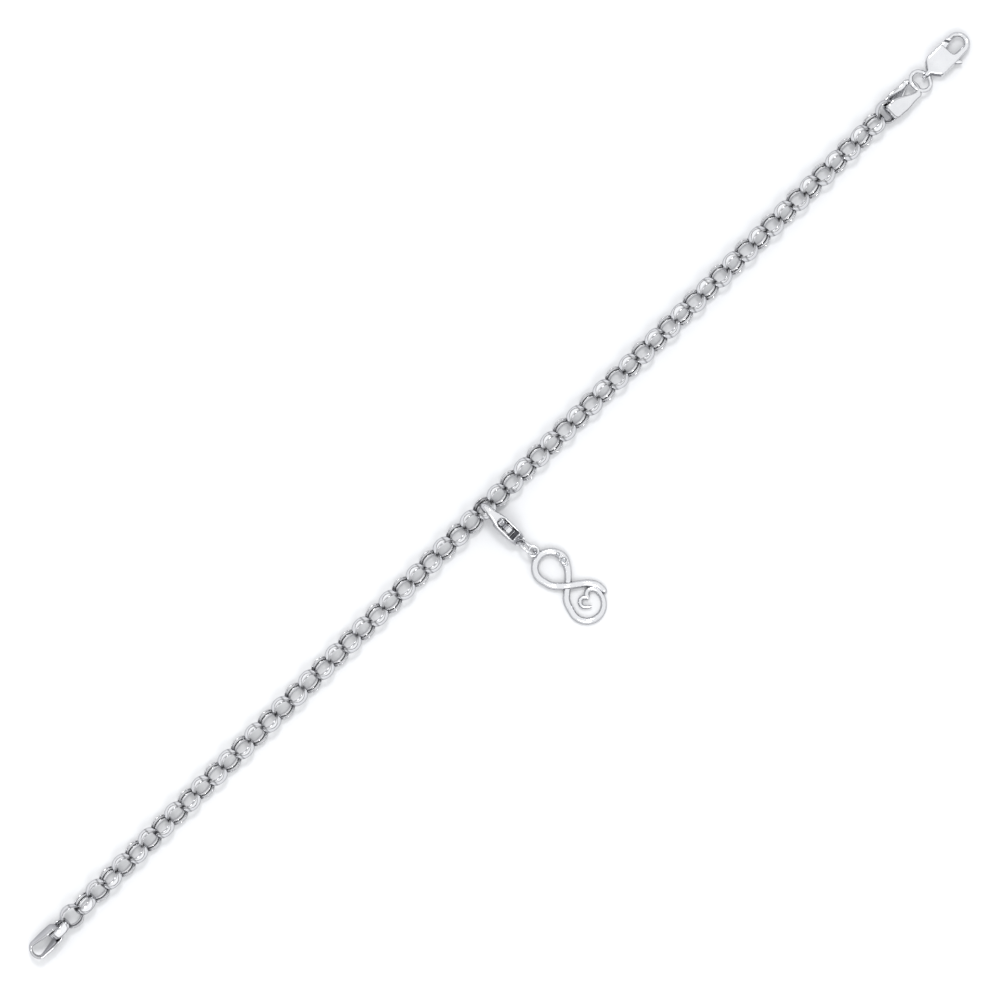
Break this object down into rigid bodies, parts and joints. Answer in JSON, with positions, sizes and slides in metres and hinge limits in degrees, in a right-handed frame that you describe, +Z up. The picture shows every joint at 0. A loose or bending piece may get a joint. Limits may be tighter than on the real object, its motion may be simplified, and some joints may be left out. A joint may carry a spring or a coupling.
{
  "type": "charm bracelet",
  "caption": "Silver belcher-link charm bracelet, undone and laid straight, with a lobster clasp at one end and an infinity-and-heart charm clipped on.",
  "frame": {"origin": "on the surface the bracelet lies on, under the middle of its bounding box", "axes": "+X along the chain from the end loop to the main clasp, -Y towards the charm, +Z up from the surface"},
  "size_m": [0.1906, 0.0254, 0.0049],
  "materials": {
    "polished_silver": "highly polished, rhodium-bright",
    "chain_silver": "polished domed links, finely grooved inside",
    "clear_stone": "clear, round, brilliant cut"
  },
  "bodies": {
    "bracelet": {"end_loop": "polished_silver", "first_link": "chain_silver", "chain_loop_side": "chain_silver", "seat_link": "chain_silver", "chain_clasp_side": "chain_silver", "last_link": "chain_silver", "end_tab": "polished_silver", "jump_ring": "polished_silver", "clasp_body": "polished_silver", "charm_clasp_body": "polished_silver", "charm_link": "polished_silver", "pendant": "polished_silver", "stone_upper": "clear_stone", "stone_middle": "clear_stone", "stone_lower": "clear_stone"},
    "clasp_lever": {"clasp_lever": "polished_silver"},
    "charm_clasp_lever": {"charm_clasp_lever": "polished_silver"}
  },
  "joints": [
    {"name": "clasp_lever_hinge", "type": "hinge", "parent": "bracelet", "child": "clasp_lever", "pos_m": [0.0906, 0.01092, 0.00105], "axis": [0, 0, -1], "range_deg": [0, 38], "stiffness_Nm_per_rad": 0.0015},
    {"name": "charm_clasp_lever_hinge", "type": "hinge", "parent": "bracelet", "child": "charm_clasp_lever", "pos_m": [-0.00357, 0.00713, 0.00183], "axis": [0.9994, 0.0349, 0], "range_deg": [0, 38], "stiffness_Nm_per_rad": 0.0015}
  ]
}
